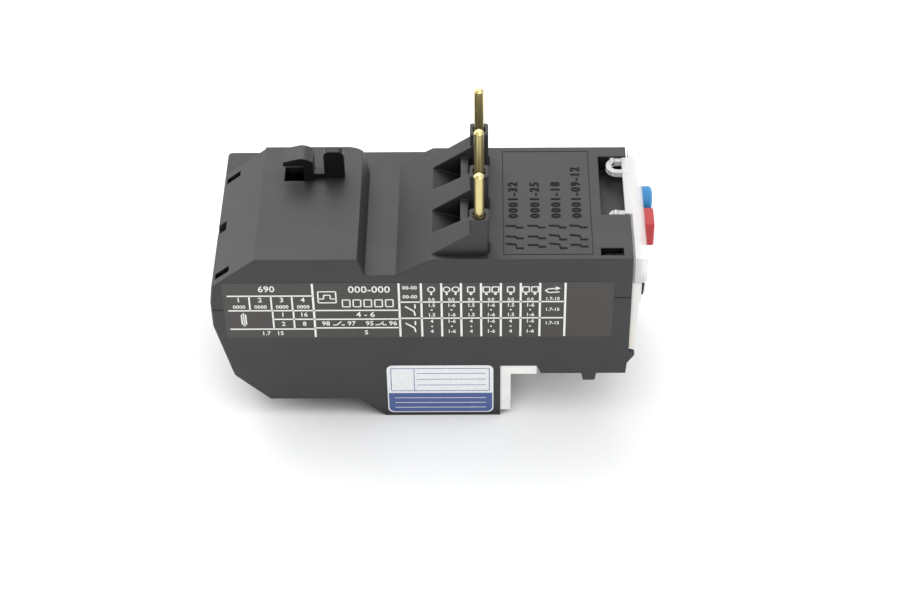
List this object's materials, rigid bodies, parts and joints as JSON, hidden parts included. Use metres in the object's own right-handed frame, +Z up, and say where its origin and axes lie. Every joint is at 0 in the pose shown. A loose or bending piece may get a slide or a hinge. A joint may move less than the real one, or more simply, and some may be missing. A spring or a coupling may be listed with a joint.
{
  "type": "thermal overload relay",
  "caption": "Plug-in thermal overload relay with brass pins for the contactor, a setting dial, stop and reset buttons under a clear hinged cover, and screw terminals.",
  "frame": {"origin": "middle of the bounding box, at the underside of the foot", "axes": "+X towards the buttons, +Y across the poles away from the label side, +Z up along the pins"},
  "size_m": [0.0956, 0.045, 0.0667],
  "materials": {
    "housing_black": "matt",
    "hook_black": "gloss",
    "shroud_white": "satin",
    "panel_cream": "satin",
    "cover_clear": "clear",
    "button_red": "satin",
    "knob_blue": "satin",
    "pin_brass": "polished",
    "contact_brass": "satin",
    "steel": "zinc plated",
    "bimetal": "satin",
    "heater_wire": "dull",
    "insulator": "matt"
  },
  "bodies": {
    "housing": {"upper_housing": "housing_black", "lower_housing": "housing_black", "terminal_shroud": "shroud_white", "front_panel": "panel_cream", "cover_catch": "hook_black", "cover_hinge_pins": "steel", "contactor_hook": "hook_black", "pin_retainer": "insulator", "retainer_screws": "steel", "lever_pivot": "steel", "stop_spring": "steel", "reset_spring": "steel", "heater_lead_1": "contact_brass", "heater_lead_2": "contact_brass", "heater_lead_3": "contact_brass", "terminal_bar_1": "contact_brass", "terminal_bar_2": "contact_brass", "terminal_bar_3": "contact_brass", "aux_contact_1": "contact_brass", "aux_contact_2": "contact_brass", "aux_contact_3": "contact_brass", "aux_contact_4": "contact_brass"},
    "cover": {"clear_cover": "cover_clear"},
    "dial": {"setting_dial": "panel_cream", "dial_cam": "panel_cream"},
    "stop": {"stop_button": "button_red"},
    "reset_stem": {"reset_plunger": "panel_cream"},
    "reset_head": {"reset_knob": "knob_blue"},
    "trip_slide_bar": {"trip_bar": "insulator"},
    "compensating_lever": {"trip_lever": "steel"},
    "carriage": {"contact_carriage": "insulator", "closed_contact_bridge": "contact_brass", "open_contact_bridge": "contact_brass"},
    "plug_1": {"plug_pin_1": "pin_brass"},
    "strip_1": {"bimetal_1": "bimetal", "heater_sleeve_1": "insulator", "heater_winding_1": "heater_wire"},
    "clamp_1": {"terminal_screw_1": "steel"},
    "plug_2": {"plug_pin_2": "pin_brass"},
    "strip_2": {"bimetal_2": "bimetal", "heater_sleeve_2": "insulator", "heater_winding_2": "heater_wire"},
    "clamp_2": {"terminal_screw_2": "steel"},
    "plug_3": {"plug_pin_3": "pin_brass"},
    "strip_3": {"bimetal_3": "bimetal", "heater_sleeve_3": "insulator", "heater_winding_3": "heater_wire"},
    "clamp_3": {"terminal_screw_3": "steel"},
    "aux_clamp_1": {"aux_screw_1": "steel"},
    "aux_clamp_2": {"aux_screw_2": "steel"},
    "aux_clamp_3": {"aux_screw_3": "steel"},
    "aux_clamp_4": {"aux_screw_4": "steel"}
  },
  "joints": [
    {"name": "cover_swing", "type": "hinge", "parent": "housing", "child": "cover", "pos_m": [0.0388, 0, 0.0456], "axis": [0, -1, 0], "range_deg": [0, 90]},
    {"name": "dial_turn", "type": "hinge", "parent": "housing", "child": "dial", "pos_m": [0.0418, -0.014, 0.0389], "axis": [1, 0, 0], "range_deg": [-135, 135]},
    {"name": "stop_press", "type": "slide", "parent": "housing", "child": "stop", "axis": [-1, 0, 0], "range_m": [0, 0.002], "stiffness_N_per_m": 400, "springref_m": -0.0005, "deforming": ["stop_spring"]},
    {"name": "reset_press", "type": "slide", "parent": "housing", "child": "reset_stem", "axis": [-1, 0, 0], "range_m": [0, 0.002], "stiffness_N_per_m": 400, "springref_m": -0.0005, "deforming": ["reset_spring"]},
    {"name": "reset_turn", "type": "hinge", "parent": "reset_stem", "child": "reset_head", "pos_m": [0.04075, 0.0082, 0.0366], "axis": [1, 0, 0], "range_deg": [0, 90]},
    {"name": "trip_slide", "type": "slide", "parent": "housing", "child": "trip_slide_bar", "axis": [0, 1, 0], "range_m": [0, 0.0015], "stiffness_N_per_m": 300, "springref_m": -0.0003},
    {"name": "lever_swing", "type": "hinge", "parent": "housing", "child": "compensating_lever", "pos_m": [-0.00715, 0.0186, 0.024], "axis": [0, 0, -1], "range_deg": [0, 3.5]},
    {"name": "contact_move", "type": "slide", "parent": "housing", "child": "carriage", "axis": [0, -1, 0], "range_m": [0, 0.0015]},
    {"name": "strip_bend_1", "type": "hinge", "parent": "housing", "child": "strip_1", "pos_m": [0.0031, -0.01415, 0.024], "axis": [0, 0, -1], "range_deg": [0, 2.5]},
    {"name": "strip_bend_2", "type": "hinge", "parent": "housing", "child": "strip_2", "pos_m": [0.0031, 0, 0.024], "axis": [0, 0, -1], "range_deg": [0, 2.5]},
    {"name": "strip_bend_3", "type": "hinge", "parent": "housing", "child": "strip_3", "pos_m": [0.0031, 0.01415, 0.024], "axis": [0, 0, -1], "range_deg": [0, 2.5]},
    {"name": "pin_float_1", "type": "slide", "parent": "housing", "child": "plug_1", "axis": [0, 1, 0], "range_m": [-0.00015, 0.00015]},
    {"name": "pin_float_2", "type": "slide", "parent": "housing", "child": "plug_2", "axis": [0, 1, 0], "range_m": [-0.00015, 0.00015]},
    {"name": "pin_float_3", "type": "slide", "parent": "housing", "child": "plug_3", "axis": [0, 1, 0], "range_m": [-0.00015, 0.00015]},
    {"name": "terminal_clamp_1", "type": "slide", "parent": "housing", "child": "clamp_1", "axis": [1, 0, 0], "range_m": [-0.0009, 0.0024]},
    {"name": "terminal_clamp_2", "type": "slide", "parent": "housing", "child": "clamp_2", "axis": [1, 0, 0], "range_m": [-0.0009, 0.0024]},
    {"name": "terminal_clamp_3", "type": "slide", "parent": "housing", "child": "clamp_3", "axis": [1, 0, 0], "range_m": [-0.0009, 0.0024]},
    {"name": "aux_tighten_1", "type": "slide", "parent": "housing", "child": "aux_clamp_1", "axis": [1, 0, 0], "range_m": [-0.0007, 0.0014]},
    {"name": "aux_tighten_2", "type": "slide", "parent": "housing", "child": "aux_clamp_2", "axis": [1, 0, 0], "range_m": [-0.0007, 0.0014]},
    {"name": "aux_tighten_3", "type": "slide", "parent": "housing", "child": "aux_clamp_3", "axis": [1, 0, 0], "range_m": [-0.0007, 0.0014]},
    {"name": "aux_tighten_4", "type": "slide", "parent": "housing", "child": "aux_clamp_4", "axis": [1, 0, 0], "range_m": [-0.0007, 0.0014]}
  ],
  "couplings": [
    {"joint": "lever_swing", "follows": "trip_slide", "rad_per_m": 36.563},
    {"joint": "contact_move", "follows": "trip_slide", "ratio": 1},
    {"joint": "strip_bend_1", "follows": "trip_slide", "rad_per_m": 26.596},
    {"joint": "strip_bend_2", "follows": "trip_slide", "rad_per_m": 26.596},
    {"joint": "strip_bend_3", "follows": "trip_slide", "rad_per_m": 26.596}
  ]
}
